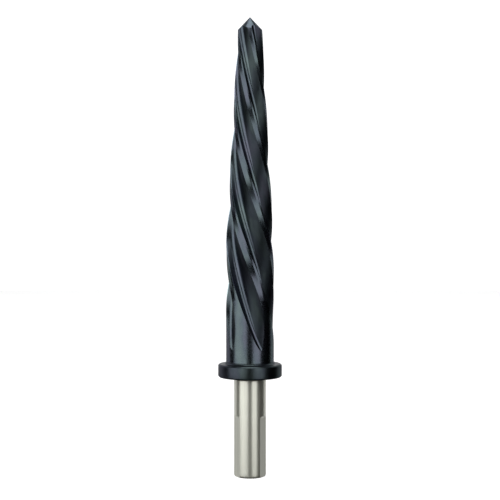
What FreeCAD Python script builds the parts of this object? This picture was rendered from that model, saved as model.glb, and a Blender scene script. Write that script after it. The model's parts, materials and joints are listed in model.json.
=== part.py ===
import FreeCAD, Part
import math
import os

# Taper reamer for opening bolt holes in steelwork. It is one piece of tool steel: a ground
# round shank with three drive flats, a stop collar, and a body with five left-hand spiral
# flutes that cut clockwise seen from the shank.
# All lengths are in millimetres and all angles in degrees. The origin is the centre of the
# shank's end face, and +Z points to the tip.

# Shank
SHANK_DIAMETER = 12.7
SHANK_LENGTH = 39.3
SHANK_END_ROUND_WIDTH = 0.4
SHANK_END_ROUND_HEIGHT = 0.95
SHANK_FILLET = 1.2

# Centre hole in the shank's end, for turning and grinding between centres
CENTRE_HOLE_DIAMETER = 4.2
CENTRE_HOLE_ANGLE = 60.0
CENTRE_DRILL_DIAMETER = 1.8
CENTRE_DRILL_DEPTH = 4.4

# Drive flats, which run from the shank's end towards the collar
DRIVE_FLAT_COUNT = 3
DRIVE_FLAT_DEPTH = 0.45
DRIVE_FLAT_LENGTH = 24.2
DRIVE_FLAT_END_RADIUS = 1.0
FIRST_DRIVE_FLAT_ANGLE = -30.0

# Collar
COLLAR_DIAMETER = 25.4
COLLAR_THICKNESS = 5.2
COLLAR_CHAMFER = 0.5

# Body
BODY_DIAMETER = 19.05
BODY_FILLET = 1.2
PARALLEL_LENGTH = 48.7
TAPER_LENGTH = 83.9
TIP_DIAMETER = 9.9
POINT_ANGLE = 86.0

# Flutes, cut with one form cutter that comes up towards the tip, and rounded by narrow flats
FLUTE_COUNT = 5
FLUTE_LEAD = 152.4
FLUTE_DEPTH = 3.5
TIP_FLUTE_DEPTH = 1.3
GULLET_RADIUS = 1.7
GULLET_FLAT_COUNT = 3
BACK_RADIUS = 10.0
BACK_FLAT_COUNT = 2
PLAIN_NECK_LENGTH = 6.1
CUTTER_RADIUS = 100.0

# Lands, which are the outer faces of the teeth
LAND_ANGLE = 18.5
MARGIN_ANGLE = 5.0
RELIEF_DEPTH = 0.15

# How far the cutting tools reach beyond the blank, and how densely the flute is sectioned
OVERCUT = 1.0
SECTION_SPACING = 9.0

FULL_TURN = 360.0
QUARTER_ROUND_HANDLE = 4 / 3 * (math.sqrt(2) - 1)
AXIS = FreeCAD.Vector(0, 0, 1)
ORIGIN = FreeCAD.Vector(0, 0, 0)

shank_radius = SHANK_DIAMETER / 2
collar_radius = COLLAR_DIAMETER / 2
body_radius = BODY_DIAMETER / 2
tip_radius = TIP_DIAMETER / 2
collar_top = SHANK_LENGTH + COLLAR_THICKNESS
flute_end = collar_top + PLAIN_NECK_LENGTH
taper_base = collar_top + PARALLEL_LENGTH
point_base = taper_base + TAPER_LENGTH
apex = point_base + tip_radius / math.tan(math.radians(POINT_ANGLE / 2))
tooth_angle = FULL_TURN / FLUTE_COUNT


def polar(radius, angle):
    """A point of a flute's section, at a radius and an angle from +X about the axis."""
    turn = math.radians(angle)
    return FreeCAD.Vector(radius * math.cos(turn), radius * math.sin(turn), 0)


def side_point(radius, height):
    """A point of a turned outline, in the plane through the axis."""
    return FreeCAD.Vector(radius, 0, height)


def lines_through(points):
    """Straight edges from each point to the next."""
    return [Part.makeLine(start, end) for start, end in zip(points, points[1:])]


def quarter_round(start, corner, end):
    """A quarter round from start to end that is tangent to both sides of the corner."""
    curve = Part.BezierCurve()
    curve.setPoles([
        start,
        start + (corner - start) * QUARTER_ROUND_HANDLE,
        end + (corner - end) * QUARTER_ROUND_HANDLE,
        end,
    ])
    return curve.toShape()


def turned_blank():
    """The bar after turning: shank, collar, parallel body, taper and point.

    The shank has a seam just below the flats' upper ends, so that its round stretch above them
    is a face of its own.
    """
    end_round = quarter_round(
        side_point(shank_radius - SHANK_END_ROUND_WIDTH, 0),
        side_point(shank_radius, 0),
        side_point(shank_radius, SHANK_END_ROUND_HEIGHT),
    )
    lower_fillet = quarter_round(
        side_point(shank_radius, SHANK_LENGTH - SHANK_FILLET),
        side_point(shank_radius, SHANK_LENGTH),
        side_point(shank_radius + SHANK_FILLET, SHANK_LENGTH),
    )
    collar_outline = [
        lower_fillet.lastVertex().Point,
        side_point(collar_radius - COLLAR_CHAMFER, SHANK_LENGTH),
        side_point(collar_radius, SHANK_LENGTH + COLLAR_CHAMFER),
        side_point(collar_radius, collar_top - COLLAR_CHAMFER),
        side_point(collar_radius - COLLAR_CHAMFER, collar_top),
        side_point(body_radius + BODY_FILLET, collar_top),
    ]
    upper_fillet = quarter_round(
        side_point(body_radius, collar_top + BODY_FILLET),
        side_point(body_radius, collar_top),
        collar_outline[-1],
    )
    outline = lines_through([side_point(0, 0), end_round.firstVertex().Point])
    outline.append(end_round)
    outline += lines_through([
        end_round.lastVertex().Point,
        side_point(shank_radius, DRIVE_FLAT_LENGTH - 2 * DRIVE_FLAT_END_RADIUS),
        lower_fillet.firstVertex().Point,
    ])
    outline.append(lower_fillet)
    outline += lines_through(collar_outline)
    outline.append(upper_fillet)
    outline += lines_through([
        upper_fillet.firstVertex().Point,
        side_point(body_radius, taper_base),
        side_point(tip_radius, point_base),
        side_point(0, apex),
        side_point(0, 0),
    ])
    return Part.Face(Part.Wire(outline)).revolve(ORIGIN, AXIS, FULL_TURN)


def centre_hole():
    """The space of the centre hole: a countersink over a short drilled hole."""
    mouth_radius = CENTRE_HOLE_DIAMETER / 2
    drill_radius = CENTRE_DRILL_DIAMETER / 2
    spread = math.tan(math.radians(CENTRE_HOLE_ANGLE / 2))
    outline = [
        side_point(0, -OVERCUT),
        side_point(mouth_radius + OVERCUT * spread, -OVERCUT),
        side_point(drill_radius, (mouth_radius - drill_radius) / spread),
        side_point(drill_radius, CENTRE_DRILL_DEPTH),
        side_point(0, CENTRE_DRILL_DEPTH + drill_radius * spread),
        side_point(0, -OVERCUT),
    ]
    return Part.Face(Part.Wire(lines_through(outline))).revolve(ORIGIN, AXIS, FULL_TURN)


def drive_flat_cutter(angle):
    """The space cut away by one drive flat, with the cutter's round left at its upper end."""
    flat = shank_radius - DRIVE_FLAT_DEPTH
    outside = shank_radius + DRIVE_FLAT_END_RADIUS + OVERCUT
    radius = DRIVE_FLAT_END_RADIUS
    round_height = math.sqrt(radius ** 2 - max(radius - DRIVE_FLAT_DEPTH, 0) ** 2)
    round_start = DRIVE_FLAT_LENGTH - round_height
    diagonal = radius * math.sqrt(0.5)
    flat_end = side_point(flat, round_start)
    on_round = side_point(flat + radius - diagonal, round_start + diagonal)
    round_end = side_point(flat + radius, round_start + radius)
    outline = lines_through([
        round_end,
        side_point(outside, round_end.z),
        side_point(outside, -OVERCUT),
        side_point(flat, -OVERCUT),
        flat_end,
    ])
    outline.append(Part.Arc(flat_end, on_round, round_end).toShape())
    face = Part.Face(Part.Wire(outline))
    face.translate(FreeCAD.Vector(0, -shank_radius, 0))
    cutter = face.extrude(FreeCAD.Vector(0, SHANK_DIAMETER, 0))
    cutter.rotate(ORIGIN, AXIS, angle)
    return cutter


def body_radius_at(height):
    """The radius over the lands, carried on past the point's base."""
    slope = (body_radius - tip_radius) / TAPER_LENGTH
    return body_radius - slope * max(height - taper_base, 0)


def run_out_length(depth):
    """How far the cutter travels along the body while it rises by a depth."""
    return math.sqrt(depth * (2 * CUTTER_RADIUS - depth))


def lift_at(height):
    """How far the round cutter has risen out of the full depth near a flute's lower end."""
    travel = max(flute_end + run_out_length(FLUTE_DEPTH) - height, 0)
    return CUTTER_RADIUS - math.sqrt(CUTTER_RADIUS ** 2 - travel ** 2)


def flute_depth_at(height):
    """The depth of the flutes below the lands, which falls towards the tip."""
    fall = (FLUTE_DEPTH - TIP_FLUTE_DEPTH) / TAPER_LENGTH
    return FLUTE_DEPTH - fall * max(height - taper_base, 0)


def back_centre(gullet_centre, heel):
    """The centre of the back's round, which ends at the heel and touches the gullet's round."""
    across = gullet_centre - heel
    reach = BACK_RADIUS + GULLET_RADIUS
    along = (across.Length ** 2 + BACK_RADIUS ** 2 - reach ** 2) / (2 * across.Length)
    inward = math.sqrt(BACK_RADIUS ** 2 - along ** 2)
    direction = across / across.Length
    return heel + direction * along + FreeCAD.Vector(direction.y, -direction.x, 0) * inward


def arc_points(centre, start, end, count):
    """Points evenly round an arc about a centre, the shorter way from start to end."""
    spoke = start - centre
    turn = spoke.getAngle(end - centre)
    if spoke.cross(end - centre).z < 0:
        turn = -turn
    points = [start]
    for step in range(1, count + 1):
        rotation = FreeCAD.Rotation(AXIS, math.degrees(turn * step / count))
        points.append(centre + rotation.multVec(spoke))
    return points


def flute_outline(height):
    """The closed outline of one flute's space at a height, before it is turned to its place.

    It is drawn with the tooth's cutting face along +X: down the face, round the gullet, up the
    next tooth's rounded back to its heel, over the relief of its land, and back outside the body.
    """
    land = body_radius_at(height)
    reach = land - flute_depth_at(height) + GULLET_RADIUS
    gullet_centre = FreeCAD.Vector(math.sqrt(reach ** 2 - GULLET_RADIUS ** 2), GULLET_RADIUS, 0)
    face_foot = FreeCAD.Vector(gullet_centre.x, 0, 0)
    relief_depth = RELIEF_DEPTH * land / body_radius
    heel = polar(land - relief_depth, tooth_angle - LAND_ANGLE)
    margin = polar(land, tooth_angle - MARGIN_ANGLE)
    round_centre = back_centre(gullet_centre, heel)
    back_share = BACK_RADIUS / (BACK_RADIUS + GULLET_RADIUS)
    back_foot = round_centre + (gullet_centre - round_centre) * back_share
    relief = margin - heel
    relief_end = margin + relief * (OVERCUT / relief.Length)
    outer_radius = relief_end.Length + OVERCUT
    outer_angle = math.degrees(math.atan2(relief_end.y, relief_end.x))
    outer_start = polar(outer_radius, outer_angle)
    outer_middle = polar(outer_radius, outer_angle / 2)
    outer_end = polar(outer_radius, 0)
    gullet = arc_points(gullet_centre, face_foot, back_foot, GULLET_FLAT_COUNT)
    back = arc_points(round_centre, back_foot, heel, BACK_FLAT_COUNT)
    edges = lines_through([outer_end] + gullet + back[1:] + [relief_end, outer_start])
    edges.append(Part.Arc(outer_start, outer_middle, outer_end).toShape())
    return Part.Wire(edges)


def flute_section(height):
    """The flute's outline lifted with the cutter and turned with the spiral at a height."""
    section = flute_outline(height)
    section.translate(FreeCAD.Vector(lift_at(height), 0, height))
    section.rotate(ORIGIN, AXIS, -FULL_TURN * (height - flute_end) / FLUTE_LEAD)
    return section


def flute_stretch(low, high):
    """The space of one flute between two heights, lofted through its turning sections."""
    count = max(2, math.ceil((high - low) / SECTION_SPACING))
    heights = [low + (high - low) * step / count for step in range(count + 1)]
    return Part.makeLoft([flute_section(height) for height in heights], True, False)


def flute():
    """The whole space of one flute: its run-out and parallel length, then its tapered length."""
    clear = FLUTE_DEPTH + OVERCUT / 2
    lowest = flute_end + run_out_length(FLUTE_DEPTH) - run_out_length(clear)
    parallel = flute_stretch(lowest, taper_base)
    tapered = flute_stretch(taper_base, apex + OVERCUT)
    return parallel.fuse(tapered)


def taper_reamer():
    """The finished reamer: the turned blank less its centre hole, drive flats and flutes."""
    cuts = [centre_hole()]
    for index in range(DRIVE_FLAT_COUNT):
        cuts.append(drive_flat_cutter(FIRST_DRIVE_FLAT_ANGLE + index * FULL_TURN / DRIVE_FLAT_COUNT))
    first_flute = flute()
    for index in range(FLUTE_COUNT):
        turned = first_flute.copy()
        turned.rotate(ORIGIN, AXIS, index * tooth_angle)
        cuts.append(turned)
    return turned_blank().cut(cuts)


def main():
    """Builds the part and writes its file."""
    os.makedirs("parts", exist_ok=True)
    solid = taper_reamer().Solids[0]
    print("valid:", solid.isValid(), "volume:", round(solid.Volume, 1))
    solid.exportStep("parts/taper_reamer.step")


main()
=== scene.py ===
"""Dressed scene of a taper reamer: one piece of tool steel with left-hand spiral flutes.

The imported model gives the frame. One finely shaped mesh stands for the reamer, with the same
form and sizes as its solid, and carries the oxide and ground steel finishes. All lengths are
in metres, all angles in degrees, and +Z points from the shank to the tip.
"""

import json
import logging
import math
from dataclasses import dataclass, field
from enum import Enum

import bmesh
import bpy
import numpy as np
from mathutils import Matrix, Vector

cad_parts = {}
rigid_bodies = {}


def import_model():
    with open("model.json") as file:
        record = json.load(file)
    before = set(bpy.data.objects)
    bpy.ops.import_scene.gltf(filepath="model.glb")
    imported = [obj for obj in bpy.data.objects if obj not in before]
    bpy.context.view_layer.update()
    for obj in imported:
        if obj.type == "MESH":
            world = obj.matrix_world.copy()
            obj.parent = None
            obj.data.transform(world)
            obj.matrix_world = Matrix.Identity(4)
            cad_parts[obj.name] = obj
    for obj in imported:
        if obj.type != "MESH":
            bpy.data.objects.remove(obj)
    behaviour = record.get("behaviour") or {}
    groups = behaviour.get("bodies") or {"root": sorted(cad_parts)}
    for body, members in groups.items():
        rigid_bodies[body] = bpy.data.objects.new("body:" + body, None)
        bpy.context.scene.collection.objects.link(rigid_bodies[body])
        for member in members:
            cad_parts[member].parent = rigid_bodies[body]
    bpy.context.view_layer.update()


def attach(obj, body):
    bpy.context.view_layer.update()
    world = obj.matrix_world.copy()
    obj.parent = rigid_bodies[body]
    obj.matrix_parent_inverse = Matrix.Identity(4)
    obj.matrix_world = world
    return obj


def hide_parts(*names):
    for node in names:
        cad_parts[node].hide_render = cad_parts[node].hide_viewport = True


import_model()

NODE = "taper_reamer"
FULL_TURN = 360.0
FLUTE_LEAD = 0.1524

log = logging.getLogger("taper_reamer")


class Working(Enum):
    """How a steel surface was made, which sets the direction of its fine lines."""

    TURNED = "turned"
    GROUND = "ground"
    MILLED = "milled"


class Surface(Enum):
    """The material slots of the reamer's mesh, in order."""

    LANDS = 0
    FLUTES = 1
    BACKS = 2
    COLLAR = 3
    SHANK = 4
    EDGE = 5


def ring_points(radii: np.ndarray, angles: np.ndarray, height: float) -> np.ndarray:
    """Points of one level ring about the axis.

    Args:
        radii: Distance of each point from the axis.
        angles: Angle of each point from +X.
        height: Height of the ring.

    Returns:
        One row of x, y and z for each point.
    """
    turn = np.radians(angles)
    level = np.full_like(turn, height)
    return np.stack([radii * np.cos(turn), radii * np.sin(turn), level], axis=-1)


@dataclass
class Skin:
    """Rings of points gathered from the reamer's stretches and welded into one closed mesh."""

    weld_distance: float = 2e-7
    sharp_angle: float = 20.0
    points: list[np.ndarray] = field(default_factory=list)
    quads: list[np.ndarray] = field(default_factory=list)
    surfaces: list[np.ndarray] = field(default_factory=list)

    def add_band(self, rings: np.ndarray, surface: "Surface | np.ndarray") -> None:
        """Joins each ring of a stretch to the next with a row of faces.

        Args:
            rings: Array of rings, columns and coordinates, closed round the axis.
            surface: The finish of the whole band, or one slot number for each column.
        """
        rows, columns = rings.shape[:2]
        first = sum(len(block) for block in self.points)
        index = first + np.arange(rows * columns).reshape(rows, columns)
        after = np.roll(index, -1, axis=1)
        quads = np.stack([index[:-1], after[:-1], after[1:], index[1:]], axis=-1)
        if isinstance(surface, Surface):
            surface = np.full(columns, surface.value)
        self.points.append(rings.reshape(-1, 3))
        self.quads.append(quads.reshape(-1, 4))
        self.surfaces.append(np.tile(surface, rows - 1))

    def weld(self, name: str, materials: list[bpy.types.Material]) -> bpy.types.Object:
        """Makes the mesh object, with smooth faces and sharp edges where the form has them.

        Args:
            name: Name of the new object.
            materials: Materials in the order of the Surface slots.

        Returns:
            The object, linked to the scene.
        """
        mesh = bpy.data.meshes.new(name)
        points = np.concatenate(self.points).tolist()
        quads = np.concatenate(self.quads).tolist()
        mesh.from_pydata(points, [], quads)
        slots = np.concatenate(self.surfaces).astype(np.int32)
        mesh.polygons.foreach_set("material_index", slots)
        for material in materials:
            mesh.materials.append(material)
        draft = bmesh.new()
        draft.from_mesh(mesh)
        bmesh.ops.remove_doubles(draft, verts=draft.verts, dist=self.weld_distance)
        bmesh.ops.recalc_face_normals(draft, faces=draft.faces)
        draft.to_mesh(mesh)
        draft.free()
        mesh.polygons.foreach_set("use_smooth", np.ones(len(mesh.polygons), dtype=bool))
        mesh.set_sharp_from_angle(angle=math.radians(self.sharp_angle))
        mesh.update()
        piece = bpy.data.objects.new(name, mesh)
        bpy.context.scene.collection.objects.link(piece)
        return piece


@dataclass
class FlutedBody:
    """The tapered body with its flutes, lands and point, from the flutes' lower ends upward."""

    radius: float = 0.009525
    tip_radius: float = 0.00495
    flute_end: float = 0.0506
    taper_base: float = 0.0932
    point_base: float = 0.1771
    point_angle: float = 86.0
    flute_count: int = 5
    lead: float = FLUTE_LEAD
    flute_depth: float = 0.0035
    tip_flute_depth: float = 0.0013
    gullet_radius: float = 0.0017
    back_radius: float = 0.010
    cutter_radius: float = 0.100
    land_angle: float = 18.5
    margin_angle: float = 5.0
    relief_depth: float = 0.00015
    row_height: float = 0.0006
    edge_width: float = 0.00028
    edge_columns: int = 2
    face_columns: int = 6
    gullet_columns: int = 12
    back_columns: int = 14
    relief_columns: int = 8
    outer_columns: int = 24
    run_out_rings: int = 44
    run_out_crowding: float = 1.6
    point_rings: int = 28
    cone_rings: int = 7
    search_above: float = 0.001
    search_below: float = 0.002
    halvings: int = 48

    @property
    def tooth_angle(self) -> float:
        """Angle from one tooth to the next."""
        return FULL_TURN / self.flute_count

    @property
    def apex(self) -> float:
        """Height of the tip."""
        return self.point_base + self.tip_radius / math.tan(math.radians(self.point_angle / 2))

    @property
    def run_out(self) -> float:
        """Length over which the round cutter rises out of the full depth."""
        return math.sqrt(self.flute_depth * (2 * self.cutter_radius - self.flute_depth))

    def size_at(self, height: float) -> float:
        """Share of the full body radius that the lands have at a height."""
        slope = (self.radius - self.tip_radius) / (self.point_base - self.taper_base)
        return (self.radius - slope * max(height - self.taper_base, 0.0)) / self.radius

    def blank_radius(self, height: float) -> float:
        """Radius of the turned blank at a height, taper and point included."""
        if height <= self.point_base:
            return self.radius * self.size_at(height)
        return (self.apex - height) * math.tan(math.radians(self.point_angle / 2))

    def lift(self, height: float) -> float:
        """How far the round cutter has risen out of the full depth near the lower end."""
        travel = max(self.flute_end + self.run_out - height, 0.0)
        return self.cutter_radius - math.sqrt(self.cutter_radius ** 2 - travel ** 2)

    def depth_at(self, height: float) -> float:
        """Depth of the flutes below the lands, which falls towards the tip."""
        fall = (self.flute_depth - self.tip_flute_depth) / (self.point_base - self.taper_base)
        return self.flute_depth - fall * max(height - self.taper_base, 0.0)

    def back_centre(self, gullet_centre: np.ndarray, heel: np.ndarray) -> np.ndarray:
        """Centre of the back's round, which ends at the heel and touches the gullet's round.

        Args:
            gullet_centre: Centre of the gullet's round.
            heel: The heel of the next tooth's land.

        Returns:
            The centre, inside the tooth.
        """
        across = gullet_centre - heel
        length = np.linalg.norm(across)
        reach = self.back_radius + self.gullet_radius
        along = (length ** 2 + self.back_radius ** 2 - reach ** 2) / (2 * length)
        inward = math.sqrt(self.back_radius ** 2 - along ** 2)
        direction = across / length
        return heel + direction * along + np.array([direction[1], -direction[0]]) * inward

    def outline(self, height: float) -> np.ndarray:
        """One flute's outline at a height, from the cutting edge round to the margin.

        Args:
            height: Height of the section.

        Returns:
            Points in the plane, down the face along +X, round the gullet, up the rounded back
            to the heel and over the relief to the margin.
        """
        land = self.radius * self.size_at(height)
        reach = land - self.depth_at(height) + self.gullet_radius
        centre = np.array([math.sqrt(reach ** 2 - self.gullet_radius ** 2), self.gullet_radius])
        heel = self.land_point(land - self.relief_depth * self.size_at(height), self.land_angle)
        margin = self.land_point(land, self.margin_angle)
        round_centre = self.back_centre(centre, heel)
        outward = (centre - round_centre) / (self.back_radius + self.gullet_radius)
        back_turn = math.atan2(outward[1], outward[0])
        heel_turn = math.atan2(*(heel - round_centre)[::-1])
        gullet_turns = (-math.pi / 2, back_turn - math.pi)
        gullet = centre + self.arc(self.gullet_radius, *gullet_turns, self.gullet_columns)
        back = round_centre + self.arc(self.back_radius, back_turn, heel_turn, self.back_columns)
        edge_foot = [max(land - self.edge_width, centre[0]), 0.0]
        edge = np.linspace([land, 0.0], edge_foot, self.edge_columns + 1)
        face = np.linspace(edge_foot, gullet[0], self.face_columns + 1)
        relief = np.linspace(heel, margin, self.relief_columns + 1)
        return np.concatenate([edge, face[1:], gullet[1:], back[1:], relief[1:]])

    @staticmethod
    def arc(radius: float, start: float, end: float, count: int) -> np.ndarray:
        """Points evenly round an arc about the origin, from one angle in radians to another."""
        turns = np.linspace(start, end, count + 1)
        return radius * np.stack([np.cos(turns), np.sin(turns)], axis=-1)

    def land_point(self, radius: float, behind_edge: float) -> np.ndarray:
        """Point of the next tooth's land, at an angle behind its cutting edge."""
        turn = math.radians(self.tooth_angle - behind_edge)
        return np.array([radius * math.cos(turn), radius * math.sin(turn)])

    def cut_at(self, height: float) -> tuple[np.ndarray, float]:
        """The outline as the cutter leaves it at a height, before it is turned with the spiral.

        Args:
            height: Height of the section.

        Returns:
            The outline's points, and how deep its lowest one lies inside the blank.
        """
        points = self.outline(height) + [self.lift(height), 0.0]
        depth = self.blank_radius(height) - np.linalg.norm(points, axis=1).min()
        return points, depth

    def clip(self, points: np.ndarray, limit: float) -> np.ndarray:
        """Draws in the ends of an outline that reach outside the blank.

        Args:
            points: The outline's points.
            limit: The blank's radius.

        Returns:
            The same number of points, of which those outside lie where the outline crosses
            the blank.
        """
        radii = np.linalg.norm(points, axis=1)
        deepest = int(np.argmin(radii))
        clipped = points.copy()
        for step, end in ((-1, -1), (1, len(points))):
            crossing = None
            for column in range(deepest, end, step):
                if crossing is None and radii[column] > limit:
                    crossing = self.crossing(points[column - step], points[column], limit)
                if crossing is not None:
                    clipped[column] = crossing
        return clipped

    @staticmethod
    def crossing(inside: np.ndarray, outside: np.ndarray, limit: float) -> np.ndarray:
        """Where the line from a point inside the blank to one outside meets its surface."""
        run = outside - inside
        square = run @ run
        half = inside @ run
        rest = max(half ** 2 - square * (inside @ inside - limit ** 2), 0.0)
        share = (math.sqrt(rest) - half) / square
        return inside + run * min(max(share, 0.0), 1.0)

    def section(self, height: float) -> np.ndarray:
        """The body's whole closed section at a height.

        Args:
            height: Height of the section.

        Returns:
            The points of each flute and of the land after it, round the axis.
        """
        limit = self.blank_radius(height)
        points, depth = self.cut_at(height)
        if depth > 0.0:
            flute = self.clip(points, limit)
        else:
            deepest = points[np.argmin(np.linalg.norm(points, axis=1))]
            flute = np.tile(deepest * (limit / np.linalg.norm(deepest)), (len(points), 1))
        flute_radii = np.linalg.norm(flute, axis=1)
        flute_angles = np.degrees(np.arctan2(flute[:, 1], flute[:, 0]))
        next_edge = self.tooth_angle + flute_angles[0]
        outer_angles = np.linspace(flute_angles[-1], next_edge, self.outer_columns + 1)
        radii = np.concatenate([flute_radii, np.full(self.outer_columns - 1, limit)])
        angles = np.concatenate([flute_angles, outer_angles[1:-1]])
        turned = [angles + self.tooth_angle * tooth for tooth in range(self.flute_count)]
        twist = -FULL_TURN * (height - self.flute_end) / self.lead
        return ring_points(np.tile(radii, self.flute_count), np.concatenate(turned) + twist, height)

    def where_flutes_end(self, inside: float, outside: float) -> float:
        """Finds by halving where the flutes run out of the blank.

        Args:
            inside: A height at which the flutes still cut.
            outside: A height at which they don't.

        Returns:
            The height between the two at which the cut's depth is nothing.
        """
        for _ in range(self.halvings):
            middle = (inside + outside) / 2
            if self.cut_at(middle)[1] > 0.0:
                inside = middle
            else:
                outside = middle
        return outside

    def heights(self) -> np.ndarray:
        """Heights of the body's rings, close together where the form changes fast."""
        above = self.flute_end + self.search_above
        below = self.flute_end - self.search_below
        lowest = self.where_flutes_end(above, below)
        highest = self.where_flutes_end(self.point_base, self.apex)
        full_depth = self.flute_end + self.run_out
        shares = np.linspace(0.0, 1.0, self.run_out_rings) ** self.run_out_crowding
        run_out = lowest + (full_depth - lowest) * shares
        count = math.ceil((self.taper_base - full_depth) / self.row_height)
        parallel = np.linspace(full_depth, self.taper_base, count + 1)
        count = math.ceil((self.point_base - self.taper_base) / self.row_height)
        taper = np.linspace(self.taper_base, self.point_base, count + 1)
        swing = (1 - np.cos(np.pi * np.linspace(0.0, 1.0, self.point_rings))) / 2
        point = self.point_base + (highest - self.point_base) * swing
        cone = np.linspace(highest, self.apex, self.cone_rings)
        return np.concatenate([run_out, parallel[1:], taper[1:], point[1:], cone[1:]])

    def build(self, skin: Skin) -> np.ndarray:
        """Adds the body's rings to the skin.

        Args:
            skin: The skin that gathers the reamer's stretches.

        Returns:
            The angles of the lowest ring's points, which the plain neck goes on from.
        """
        rings = np.stack([self.section(height) for height in self.heights()])
        tooth = [Surface.EDGE.value] * self.edge_columns
        tooth += [Surface.FLUTES.value] * (self.face_columns + self.gullet_columns)
        tooth += [Surface.BACKS.value] * self.back_columns
        tooth += [Surface.LANDS.value] * (self.relief_columns + self.outer_columns)
        skin.add_band(rings, np.array(tooth * self.flute_count))
        lowest = rings[0]
        angles = np.degrees(np.arctan2(lowest[:, 1], lowest[:, 0]))
        log.info("fluted body: %d rings of %d points", *rings.shape[:2])
        start = angles[0]
        step = self.tooth_angle / self.outer_columns
        return start + step * np.arange(self.flute_count * self.outer_columns)


@dataclass
class CollarAndNeck:
    """The stop collar and the plain neck between it and the flutes."""

    neck_radius: float = 0.009525
    collar_radius: float = 0.0127
    underside: float = 0.0393
    thickness: float = 0.0052
    chamfer: float = 0.0005
    chamfer_softening: float = 0.00012
    neck_fillet: float = 0.0012
    shank_radius: float = 0.00635
    shank_fillet: float = 0.0012
    corner_points: int = 4
    corner_share: float = 0.45
    fillet_rings: int = 13
    neck_rings: int = 6

    def softened_corner(self, before: tuple[float, float], corner: tuple[float, float],
                        after: tuple[float, float]) -> list[tuple[float, float]]:
        """Rounds a corner of the turned outline a little.

        Args:
            before: Radius and height of the point before the corner.
            corner: Radius and height of the corner.
            after: Radius and height of the point after it.

        Returns:
            Points of the round, in place of the corner.
        """
        corner_point = np.array(corner)
        start = np.array(before) - corner_point
        end = np.array(after) - corner_point
        start_share = min(self.chamfer_softening / np.linalg.norm(start), self.corner_share)
        end_share = min(self.chamfer_softening / np.linalg.norm(end), self.corner_share)
        start = corner_point + start * start_share
        end = corner_point + end * end_share
        steps = np.linspace(0.0, 1.0, self.corner_points)[:, None]
        curve = start * (1 - steps) ** 2 + 2 * corner_point * steps * (1 - steps) + end * steps ** 2
        return [tuple(point) for point in curve]

    def profile(self) -> list[tuple[float, float]]:
        """The turned outline up to the neck's fillet, as radius and height."""
        top = self.underside + self.thickness
        corners = [
            (self.shank_radius + self.shank_fillet, self.underside),
            (self.collar_radius - self.chamfer, self.underside),
            (self.collar_radius, self.underside + self.chamfer),
            (self.collar_radius, top - self.chamfer),
            (self.collar_radius - self.chamfer, top),
            (self.neck_radius + self.neck_fillet, top),
        ]
        outline = [corners[0]]
        for before, corner, after in zip(corners, corners[1:], corners[2:]):
            outline += self.softened_corner(before, corner, after)
        for turn in np.linspace(0.0, math.pi / 2, self.fillet_rings):
            radius = self.neck_radius + self.neck_fillet * (1 - math.sin(turn))
            outline.append((radius, top + self.neck_fillet * (1 - math.cos(turn))))
        return outline

    def build(self, skin: Skin, angles: np.ndarray, neck_top: float,
              shank_angles: np.ndarray) -> None:
        """Adds the collar and neck to the skin.

        Args:
            skin: The skin that gathers the reamer's stretches.
            angles: Angles of the lowest ring of the fluted body.
            neck_top: Height of that ring.
            shank_angles: Angles of the shank's highest ring, which the collar's underside meets.
        """
        outline = self.profile()
        rings = []
        for radius, height in outline:
            rings.append(ring_points(np.full_like(angles, radius), angles, height))
        nearest = np.argmin(np.abs((shank_angles - angles[0] + 180.0) % FULL_TURN - 180.0))
        inner_angles = np.roll(shank_angles, -nearest)
        inner_radius, underside = outline[0]
        rings[0] = ring_points(np.full_like(angles, inner_radius), inner_angles, underside)
        skin.add_band(np.stack(rings[:-1]), Surface.COLLAR)
        fillet_top = rings[-1][0, 2]
        neck = rings[-2:]
        for height in np.linspace(fillet_top, neck_top, self.neck_rings)[1:]:
            neck.append(ring_points(np.full_like(angles, self.neck_radius), angles, height))
        skin.add_band(np.stack(neck), Surface.LANDS)
        log.info("collar and neck: %d rings", len(rings) + len(neck) - 2)


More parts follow.
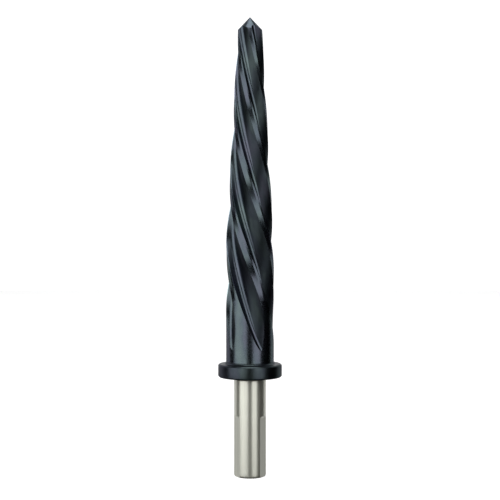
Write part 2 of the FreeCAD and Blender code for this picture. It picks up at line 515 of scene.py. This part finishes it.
@dataclass
class Shank:
    """The ground round shank with its drive flats, rounded end and centre hole."""

    radius: float = 0.00635
    length: float = 0.0393
    fillet: float = 0.0012
    end_round_width: float = 0.0004
    end_round_height: float = 0.00095
    flat_count: int = 3
    flat_distance: float = 0.0059
    flat_length: float = 0.0242
    flat_end_radius: float = 0.001
    first_flat_angle: float = -30.0
    hole_radius: float = 0.0021
    drill_radius: float = 0.0009
    drill_depth: float = 0.0044
    hole_angle: float = 60.0
    flat_columns: int = 16
    round_columns: int = 40
    end_rings: int = 10
    straight_rings: int = 24
    flat_end_rings: int = 22
    round_rings: int = 16
    fillet_rings: int = 11

    @property
    def flat_spacing(self) -> float:
        """Angle from one drive flat to the next."""
        return FULL_TURN / self.flat_count

    def round_angles(self) -> np.ndarray:
        """Angles of the points of a fully round ring, starting over the first drive flat."""
        step = self.flat_spacing / self.round_columns
        return self.first_flat_angle + step * np.arange(self.flat_count * self.round_columns)

    def radius_at(self, height: float) -> float:
        """Radius of the round parts at a height, with the rounded end."""
        below = max(self.end_round_height - height, 0.0) / self.end_round_height
        return self.radius - self.end_round_width * (1 - math.sqrt(1 - below ** 2))

    def flat_distance_at(self, height: float) -> float:
        """Distance of a drive flat from the axis at a height, with the cutter's round."""
        rest = max(self.flat_end_radius - (self.radius - self.flat_distance), 0.0)
        round_height = math.sqrt(self.flat_end_radius ** 2 - rest ** 2)
        climb = max(height - (self.flat_length - round_height), 0.0)
        drop = math.sqrt(max(self.flat_end_radius ** 2 - climb ** 2, 0.0))
        return self.flat_distance + self.flat_end_radius - drop

    def flatted_ring(self, height: float) -> np.ndarray:
        """One ring of the stretch with drive flats.

        Args:
            height: Height of the ring.

        Returns:
            Its points, across each flat and round the rest up to the next flat.
        """
        radius = self.radius_at(height)
        distance = min(self.flat_distance_at(height), radius)
        half = math.degrees(math.acos(distance / radius))
        shares = np.linspace(-1.0, 1.0, self.flat_columns + 1)
        across = shares * distance * math.tan(math.radians(half))
        flat_radii = np.hypot(distance, across)
        flat_angles = np.degrees(np.arctan2(across, distance))
        arc_angles = np.linspace(half, self.flat_spacing - half, self.round_columns + 1)[1:-1]
        radii = np.concatenate([flat_radii, np.full(len(arc_angles), radius)])
        angles = np.concatenate([flat_angles, arc_angles]) + self.first_flat_angle
        turned = [angles + self.flat_spacing * flat for flat in range(self.flat_count)]
        return ring_points(np.tile(radii, self.flat_count), np.concatenate(turned), height)

    def build(self, skin: Skin) -> None:
        """Adds the shank and its centre hole to the skin.

        Args:
            skin: The skin that gathers the reamer's stretches.
        """
        end_turns = np.linspace(0.0, np.pi / 2, self.end_rings)
        end_heights = self.end_round_height * (1 - np.cos(end_turns))
        flat_top = self.flat_length - self.flat_end_radius
        straight = np.linspace(self.end_round_height, flat_top, self.straight_rings)
        swing = np.sin(np.pi / 2 * np.linspace(0.0, 1.0, self.flat_end_rings))
        run_out = flat_top + self.flat_end_radius * swing
        heights = np.concatenate([end_heights, straight[1:], run_out[1:]])
        flatted = np.stack([self.flatted_ring(height) for height in heights])
        skin.add_band(flatted, Surface.SHANK)

        angles = self.round_angles()
        rings = []
        for height in np.linspace(self.flat_length, self.length - self.fillet, self.round_rings):
            rings.append(ring_points(np.full_like(angles, self.radius), angles, height))
        for turn in np.linspace(0.0, math.pi / 2, self.fillet_rings)[1:]:
            radius = self.radius + self.fillet * (1 - math.cos(turn))
            height = self.length - self.fillet * (1 - math.sin(turn))
            rings.append(ring_points(np.full_like(angles, radius), angles, height))
        skin.add_band(np.stack(rings), Surface.SHANK)

        edge = flatted[0]
        edge_angles = np.degrees(np.arctan2(edge[:, 1], edge[:, 0]))
        spread = math.tan(math.radians(self.hole_angle / 2))
        hole = [edge]
        for radius, height in (
            (self.hole_radius, 0.0),
            (self.drill_radius, (self.hole_radius - self.drill_radius) / spread),
            (self.drill_radius, self.drill_depth),
            (0.0, self.drill_depth + self.drill_radius * spread),
        ):
            hole.append(ring_points(np.full_like(edge_angles, radius), edge_angles, height))
        skin.add_band(np.stack(hole[::-1]), Surface.SHANK)
        log.info("shank: %d rings", len(heights) + len(rings) + len(hole))


class Nodes:
    """A material's node tree, with short ways to add the nodes that the finishes share."""

    def __init__(self, name: str) -> None:
        """Starts an empty node material.

        Args:
            name: Name of the material.
        """
        self.material = bpy.data.materials.new(name)
        self.material.use_nodes = True
        self.tree = self.material.node_tree
        self.tree.nodes.clear()

    def add(self, kind: str, **settings: object) -> bpy.types.Node:
        """Adds one node.

        Args:
            kind: The node's type name.
            settings: Properties of the node and their values.

        Returns:
            The new node.
        """
        node = self.tree.nodes.new(kind)
        for name, value in settings.items():
            setattr(node, name, value)
        return node

    def join(self, source: bpy.types.NodeSocket, target: bpy.types.NodeSocket) -> None:
        """Links an output to an input."""
        self.tree.links.new(source, target)

    def scaled(self, source: bpy.types.NodeSocket,
               scale: tuple[float, float, float]) -> bpy.types.NodeSocket:
        """A vector multiplied by a different number along each axis.

        Args:
            source: The vector.
            scale: The three numbers.

        Returns:
            The scaled vector's socket.
        """
        node = self.add("ShaderNodeVectorMath", operation="MULTIPLY")
        self.join(source, node.inputs[0])
        node.inputs[1].default_value = scale
        return node.outputs["Vector"]

    def noise(self, source: bpy.types.NodeSocket, scale: tuple[float, float, float],
              detail: float) -> bpy.types.NodeSocket:
        """A noise stretched along the axes.

        Args:
            source: Position in metres.
            scale: How many features there are in a metre along each axis.
            detail: How many finer layers the noise has.

        Returns:
            The noise's value, from 0 to 1.
        """
        node = self.add("ShaderNodeTexNoise")
        node.inputs["Scale"].default_value = 1.0
        node.inputs["Detail"].default_value = detail
        self.join(self.scaled(source, scale), node.inputs["Vector"])
        return node.outputs["Fac"]

    def ramp(self, source: bpy.types.NodeSocket,
             stops: list[tuple[float, tuple[float, float, float]]]) -> bpy.types.NodeSocket:
        """A colour that follows a value.

        Args:
            source: The value.
            stops: Positions on the ramp, each with its linear colour.

        Returns:
            The colour's socket.
        """
        node = self.add("ShaderNodeValToRGB")
        elements = node.color_ramp.elements
        while len(elements) < len(stops):
            elements.new(0.5)
        for element, (position, colour) in zip(elements, stops):
            element.position = position
            element.color = (*colour, 1.0)
        self.join(source, node.inputs["Fac"])
        return node.outputs["Color"]

    def ranged(self, source: bpy.types.NodeSocket, low: float, high: float,
               start: float = 0.3, end: float = 0.7) -> bpy.types.NodeSocket:
        """A value moved from one range to another.

        Args:
            source: The value.
            low: The result at the start of the range.
            high: The result at its end.
            start: The range's start.
            end: The range's end.

        Returns:
            The result's socket.
        """
        node = self.add("ShaderNodeMapRange")
        for name, value in zip(("From Min", "From Max", "To Min", "To Max"), (start, end, low, high)):
            node.inputs[name].default_value = value
        self.join(source, node.inputs["Value"])
        return node.outputs["Result"]

    def position(self) -> bpy.types.NodeSocket:
        """The position in the reamer's own frame."""
        return self.add("ShaderNodeTexCoord").outputs["Object"]

    def unwound(self, source: bpy.types.NodeSocket, lead: float) -> bpy.types.NodeSocket:
        """The position with the flutes' spiral taken out, so that each flute runs straight up.

        Args:
            source: The position.
            lead: Height of one full turn of the spiral.

        Returns:
            The unwound position's socket.
        """
        parts = self.add("ShaderNodeSeparateXYZ")
        self.join(source, parts.inputs["Vector"])
        turn = self.add("ShaderNodeMath", operation="MULTIPLY")
        self.join(parts.outputs["Z"], turn.inputs[0])
        turn.inputs[1].default_value = 2 * math.pi / lead
        spin = self.add("ShaderNodeVectorRotate", rotation_type="Z_AXIS")
        self.join(source, spin.inputs["Vector"])
        self.join(turn.outputs["Value"], spin.inputs["Angle"])
        return spin.outputs["Vector"]

    def bump(self, height: bpy.types.NodeSocket, distance: float) -> bpy.types.NodeSocket:
        """A bumped normal.

        Args:
            height: The height pattern.
            distance: How far the pattern rises at most.

        Returns:
            The normal's socket.
        """
        node = self.add("ShaderNodeBump")
        node.inputs["Distance"].default_value = distance
        self.join(height, node.inputs["Height"])
        return node.outputs["Normal"]


def line_scale(working: Working, across: float, along: float) -> tuple[float, float, float]:
    """How closely fine lines lie along each axis.

    Args:
        working: How the surface was made. Milled lines run up the unwound flute, and turned
            and ground ones run round the axis.
        across: Lines in a metre across their run.
        along: Breaks in a metre along it.

    Returns:
        The scale for a noise.
    """
    if working is Working.MILLED:
        return (across, across, along)
    return (along, along, across)


@dataclass(frozen=True)
class SteamOxide:
    """Blue-black steam oxide on tool steel, which turns from green-grey to violet in places."""

    name: str
    working: Working
    roughness: float
    line_depth: float
    lead: float = FLUTE_LEAD
    deep: tuple[float, float, float] = (0.074, 0.092, 0.110)
    teal: tuple[float, float, float] = (0.098, 0.128, 0.132)
    lilac: tuple[float, float, float] = (0.096, 0.102, 0.134)
    # Scale of the colours. On the flute backs it paints shade, and on the cutting edge it paints a
    # highlight.
    shade: float = 1.0
    edge_tint: float = 0.55
    stain_scale: tuple[float, float, float] = (150.0, 150.0, 60.0)
    stain_stops: tuple[float, float, float] = (0.36, 0.5, 0.64)
    cloud_scale: tuple[float, float, float] = (420.0, 420.0, 260.0)
    cloud_gloss: tuple[float, float] = (0.86, 1.16)
    lines_across: float = 5200.0
    lines_along: float = 90.0

    def material(self) -> bpy.types.Material:
        """Builds the node material.

        Returns:
            The finished material.
        """
        nodes = Nodes(self.name)
        output = nodes.add("ShaderNodeOutputMaterial")
        steel = nodes.add("ShaderNodeBsdfPrincipled")
        steel.inputs["Metallic"].default_value = 1.0
        place = nodes.position()
        if self.working is Working.MILLED:
            place = nodes.unwound(place, self.lead)
        stain = nodes.noise(place, self.stain_scale, 3.0)
        stops = zip(self.stain_stops, (self.teal, self.deep, self.lilac))
        shaded = [(at, tuple(part * self.shade for part in colour)) for at, colour in stops]
        nodes.join(nodes.ramp(stain, shaded), steel.inputs["Base Color"])
        tint = (self.edge_tint, self.edge_tint, self.edge_tint, 1.0)
        steel.inputs["Specular Tint"].default_value = tint
        scale = line_scale(self.working, self.lines_across, self.lines_along)
        lines = nodes.noise(place, scale, 3.0)
        cloud = nodes.noise(place, self.cloud_scale, 4.0)
        gloss, matt = self.cloud_gloss
        rough = nodes.ranged(cloud, self.roughness * gloss, self.roughness * matt)
        nodes.join(rough, steel.inputs["Roughness"])
        nodes.join(nodes.bump(lines, self.line_depth), steel.inputs["Normal"])
        nodes.join(steel.outputs["BSDF"], output.inputs["Surface"])
        return nodes.material


@dataclass(frozen=True)
class GroundSteel:
    """Bright ground steel with fine lines round the shank."""

    name: str = "bright_ground_steel"
    roughness: float = 0.29
    scatter_roughness: float = 0.80
    scatter_share: float = 0.42
    line_depth: float = 0.00000005
    light: tuple[float, float, float] = (0.78, 0.785, 0.70)
    dark: tuple[float, float, float] = (0.72, 0.725, 0.645)
    streak_scale: tuple[float, float, float] = (1500.0, 1500.0, 35.0)
    line_gloss: tuple[float, float] = (0.96, 1.04)
    lines_across: float = 9000.0
    lines_along: float = 60.0

    def material(self) -> bpy.types.Material:
        """Builds the node material.

        Returns:
            The finished material.
        """
        nodes = Nodes(self.name)
        output = nodes.add("ShaderNodeOutputMaterial")
        steel = nodes.add("ShaderNodeBsdfPrincipled")
        steel.inputs["Metallic"].default_value = 1.0
        place = nodes.position()
        streak = nodes.noise(place, self.streak_scale, 3.0)
        colour = nodes.ramp(streak, [(0.35, self.dark), (0.6, self.light)])
        nodes.join(colour, steel.inputs["Base Color"])
        scale = line_scale(Working.GROUND, self.lines_across, self.lines_along)
        lines = nodes.noise(place, scale, 3.0)
        gloss, matt = self.line_gloss
        rough = nodes.ranged(lines, self.roughness * gloss, self.roughness * matt)
        nodes.join(rough, steel.inputs["Roughness"])
        nodes.join(nodes.bump(lines, self.line_depth), steel.inputs["Normal"])
        scatter = nodes.add("ShaderNodeBsdfPrincipled")
        scatter.inputs["Metallic"].default_value = 1.0
        scatter.inputs["Roughness"].default_value = self.scatter_roughness
        nodes.join(colour, scatter.inputs["Base Color"])
        mix = nodes.add("ShaderNodeMixShader")
        mix.inputs["Fac"].default_value = self.scatter_share
        nodes.join(steel.outputs["BSDF"], mix.inputs[1])
        nodes.join(scatter.outputs["BSDF"], mix.inputs[2])
        nodes.join(mix.outputs["Shader"], output.inputs["Surface"])
        return nodes.material


@dataclass
class Reamer:
    """The whole reamer: its stretches, welded into one piece and dressed."""

    body: FlutedBody = field(default_factory=FlutedBody)
    collar: CollarAndNeck = field(default_factory=CollarAndNeck)
    shank: Shank = field(default_factory=Shank)

    def finishes(self) -> list[bpy.types.Material]:
        """The materials, in the order of the Surface slots."""
        ground, milled, turned = Working.GROUND, Working.MILLED, Working.TURNED
        return [
            SteamOxide("oxide_on_ground_lands", ground, roughness=0.27, line_depth=1.2e-6).material(),
            SteamOxide("oxide_in_gullets", milled, roughness=0.30, line_depth=1.5e-6,
                       shade=1.1).material(),
            # The flute backs are a rougher milled oxide whose colour is darkened to 0.45, which is
            # painted shade.
            SteamOxide("oxide_with_painted_shade_on_flute_backs", milled, roughness=0.42, line_depth=1.5e-6,
                       shade=0.45).material(),
            SteamOxide("oxide_on_turned_collar", turned, roughness=0.34, line_depth=2.0e-6,
                       shade=0.6).material(),
            GroundSteel().material(),
            # The cutting edge's strip has its oxide colour raised fivefold, a painted highlight along
            # the edge.
            SteamOxide("oxide_with_painted_highlight_on_cutting_edge", milled, roughness=0.34, line_depth=1.0e-6,
                       shade=5.0).material(),
        ]

    def build(self) -> bpy.types.Object:
        """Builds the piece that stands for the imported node.

        Returns:
            The dressed reamer.
        """
        skin = Skin()
        angles = self.body.build(skin)
        neck_top = float(self.body.heights()[0])
        self.shank.build(skin)
        self.collar.build(skin, angles, neck_top, self.shank.round_angles())
        piece = skin.weld("reamer_in_one_piece", self.finishes())
        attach(piece, "root")
        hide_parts(NODE)
        counts = (len(piece.data.vertices), len(piece.data.polygons))
        log.info("reamer: %d vertices, %d faces", *counts)
        return piece


@dataclass(frozen=True)
class StudioPaper:
    """Pale paper that looks white to the camera and in reflections."""

    name: str
    glow: float
    colour: tuple[float, float, float] = (0.80, 0.80, 0.80)

    def material(self) -> bpy.types.Material:
        """Builds the node material.

        Returns:
            The finished material.
        """
        nodes = Nodes(self.name)
        output = nodes.add("ShaderNodeOutputMaterial")
        paper = nodes.add("ShaderNodeBsdfDiffuse")
        paper.inputs["Color"].default_value = (*self.colour, 1.0)
        glow = nodes.add("ShaderNodeEmission")
        path = nodes.add("ShaderNodeLightPath")
        seen = nodes.add("ShaderNodeMath", operation="MAXIMUM")
        nodes.join(path.outputs["Is Camera Ray"], seen.inputs[0])
        nodes.join(path.outputs["Is Glossy Ray"], seen.inputs[1])
        shown = nodes.add("ShaderNodeMath", operation="MAXIMUM")
        nodes.join(seen.outputs["Value"], shown.inputs[0])
        nodes.join(path.outputs["Is Transmission Ray"], shown.inputs[1])
        strength = nodes.add("ShaderNodeMath", operation="MULTIPLY")
        nodes.join(shown.outputs["Value"], strength.inputs[0])
        strength.inputs[1].default_value = self.glow
        nodes.join(strength.outputs["Value"], glow.inputs["Strength"])
        both = nodes.add("ShaderNodeAddShader")
        nodes.join(paper.outputs["BSDF"], both.inputs[0])
        nodes.join(glow.outputs["Emission"], both.inputs[1])
        nodes.join(both.outputs["Shader"], output.inputs["Surface"])
        return nodes.material


@dataclass(frozen=True)
class DarkCloth:
    """Black cloth that keeps stray light off the reamer."""

    name: str = "dark_cloth"
    colour: tuple[float, float, float] = (0.035, 0.036, 0.040)

    def material(self) -> bpy.types.Material:
        """Builds the node material.

        Returns:
            The finished material.
        """
        nodes = Nodes(self.name)
        output = nodes.add("ShaderNodeOutputMaterial")
        cloth = nodes.add("ShaderNodeBsdfDiffuse")
        cloth.inputs["Color"].default_value = (*self.colour, 1.0)
        nodes.join(cloth.outputs["BSDF"], output.inputs["Surface"])
        return nodes.material


@dataclass(frozen=True)
class Softbox:
    """One upright softbox, placed by its angle from the camera, positive to the right."""

    name: str
    azimuth: float
    half_angle: float
    brightness: float
    distance: float = 1.05
    low: float = -0.26
    high: float = 1.10

    def build(self) -> bpy.types.Object:
        """Hangs the softbox facing the reamer's axis.

        Returns:
            The light.
        """
        width = 2 * self.distance * math.tan(math.radians(self.half_angle))
        height = self.high - self.low
        data = bpy.data.lights.new(self.name, "AREA")
        data.shape = "RECTANGLE"
        data.size, data.size_y = width, height
        data.energy = self.brightness * math.pi * width * height
        light = bpy.data.objects.new(self.name, data)
        turn = math.radians(self.azimuth)
        away = Vector((math.sin(turn), -math.cos(turn), 0.0))
        light.location = away * self.distance + Vector((0.0, 0.0, (self.low + self.high) / 2))
        light.rotation_euler = away.to_track_quat("Z", "Y").to_euler()
        light.visible_camera = False
        bpy.context.scene.collection.objects.link(light)
        return light


@dataclass
class Studio:
    """The plain pale floor and backdrop, the dark curtain, the soft lights and the camera."""

    camera_distance: float = 0.398
    camera_height: float = 0.0897
    focal_length: float = 72.0
    sensor_width: float = 36.0
    floor_size: float = 6.0
    floor_glow: float = 0.88
    backdrop_glow: float = 1.0
    wall_radius: float = 1.9
    wall_low: float = -1.2
    wall_high: float = 2.4
    wall_points: int = 65
    curtain_radius: float = 1.6
    paper_from: float = 118.0
    left_paper_from: float = 112.0
    card_radius: float = 1.7
    card_end: float = 162.0
    card_glow: float = 0.75
    overhead_height: float = 0.95
    overhead_size: float = 0.55
    overhead_brightness: float = 3.0
    surroundings: tuple[float, float, float] = (0.05, 0.052, 0.058)

    def place_camera(self) -> None:
        """Sets a level camera in front of the reamer, as the photograph was taken."""
        data = bpy.data.cameras.new("camera")
        data.lens = self.focal_length
        data.sensor_width = self.sensor_width
        camera = bpy.data.objects.new("camera", data)
        camera.location = (0.0, -self.camera_distance, self.camera_height)
        camera.rotation_euler = (math.radians(90.0), 0.0, 0.0)
        bpy.context.scene.collection.objects.link(camera)
        bpy.context.scene.camera = camera

    def wall(self, name: str, radius: float, start: float, end: float,
             material: bpy.types.Material) -> bpy.types.Object:
        """Stands a curved wall round the reamer.

        Args:
            name: Name of the wall.
            radius: Its distance from the axis.
            start: Angle from the camera's direction at which it starts.
            end: Angle at which it ends.
            material: Its material.

        Returns:
            The wall.
        """
        angles = np.radians(np.linspace(start, end, self.wall_points))
        ring = np.stack([np.sin(angles) * radius, -np.cos(angles) * radius], axis=-1)
        low = np.column_stack([ring, np.full(len(ring), self.wall_low)])
        high = np.column_stack([ring, np.full(len(ring), self.wall_high)])
        count = len(ring)
        faces = [(i, i + 1, count + i + 1, count + i) for i in range(count - 1)]
        mesh = bpy.data.meshes.new(name)
        mesh.from_pydata(np.concatenate([low, high]).tolist(), [], faces)
        mesh.materials.append(material)
        wall = bpy.data.objects.new(name, mesh)
        bpy.context.scene.collection.objects.link(wall)
        return wall

    def lay_floor(self) -> None:
        """Lays the floor, which the camera sees and the reflections don't.

        In the photograph the bright and dark bands on the steel run down to the shank's end, as
        nothing pale lies in front of it.
        """
        half = self.floor_size / 2
        corners = [(-half, -half, 0.0), (half, -half, 0.0), (half, half, 0.0), (-half, half, 0.0)]
        mesh = bpy.data.meshes.new("floor")
        mesh.from_pydata(corners, [], [(0, 1, 2, 3)])
        mesh.materials.append(StudioPaper("floor_paper", self.floor_glow).material())
        floor = bpy.data.objects.new("floor", mesh)
        bpy.context.scene.collection.objects.link(floor)
        floor.visible_glossy = False

    def hang_overhead(self) -> None:
        """Hangs the square softbox above the reamer."""
        data = bpy.data.lights.new("overhead_softbox", "AREA")
        data.shape = "SQUARE"
        data.size = self.overhead_size
        data.energy = self.overhead_brightness * math.pi * self.overhead_size ** 2
        light = bpy.data.objects.new("overhead_softbox", data)
        light.location = (0.0, 0.0, self.overhead_height)
        light.visible_camera = False
        bpy.context.scene.collection.objects.link(light)

    def set_surroundings(self) -> None:
        """Sets the world, which is dim all round."""
        world = bpy.data.worlds.new("surroundings")
        world.use_nodes = True
        tree = world.node_tree
        tree.nodes.clear()
        output = tree.nodes.new("ShaderNodeOutputWorld")
        glow = tree.nodes.new("ShaderNodeBackground")
        glow.inputs["Color"].default_value = (*self.surroundings, 1.0)
        tree.links.new(glow.outputs["Background"], output.inputs["Surface"])
        bpy.context.scene.world = world

    def build(self) -> None:
        """Builds the floor, the backdrop, the lights and the camera."""
        self.place_camera()
        self.lay_floor()
        paper = StudioPaper("backdrop_paper", self.backdrop_glow).material()
        self.wall("backdrop", self.wall_radius, -180.0, 180.0, paper)
        left, right = -self.left_paper_from, self.paper_from
        card = StudioPaper("card_paper", self.card_glow).material()
        for wall in (
            self.wall("dark_curtain", self.curtain_radius, left, right, DarkCloth().material()),
            self.wall("left_card", self.card_radius, -self.card_end, left, card),
            self.wall("right_card", self.card_radius, right, self.card_end, card),
        ):
            wall.visible_camera = False
        Softbox("left_softbox", azimuth=-47.0, half_angle=32.0, brightness=1.8).build()
        Softbox("right_softbox", azimuth=32.0, half_angle=18.0, brightness=1.8).build()
        self.hang_overhead()
        self.set_surroundings()
        bpy.context.scene.view_settings.view_transform = "Standard"
        log.info("studio is set")


def main() -> None:
    """Builds and dresses the reamer, then sets the studio round it."""
    logging.basicConfig(level=logging.INFO, format="%(name)s: %(message)s")
    Reamer().build()
    Studio().build()


if __name__ == "__main__":
    main()
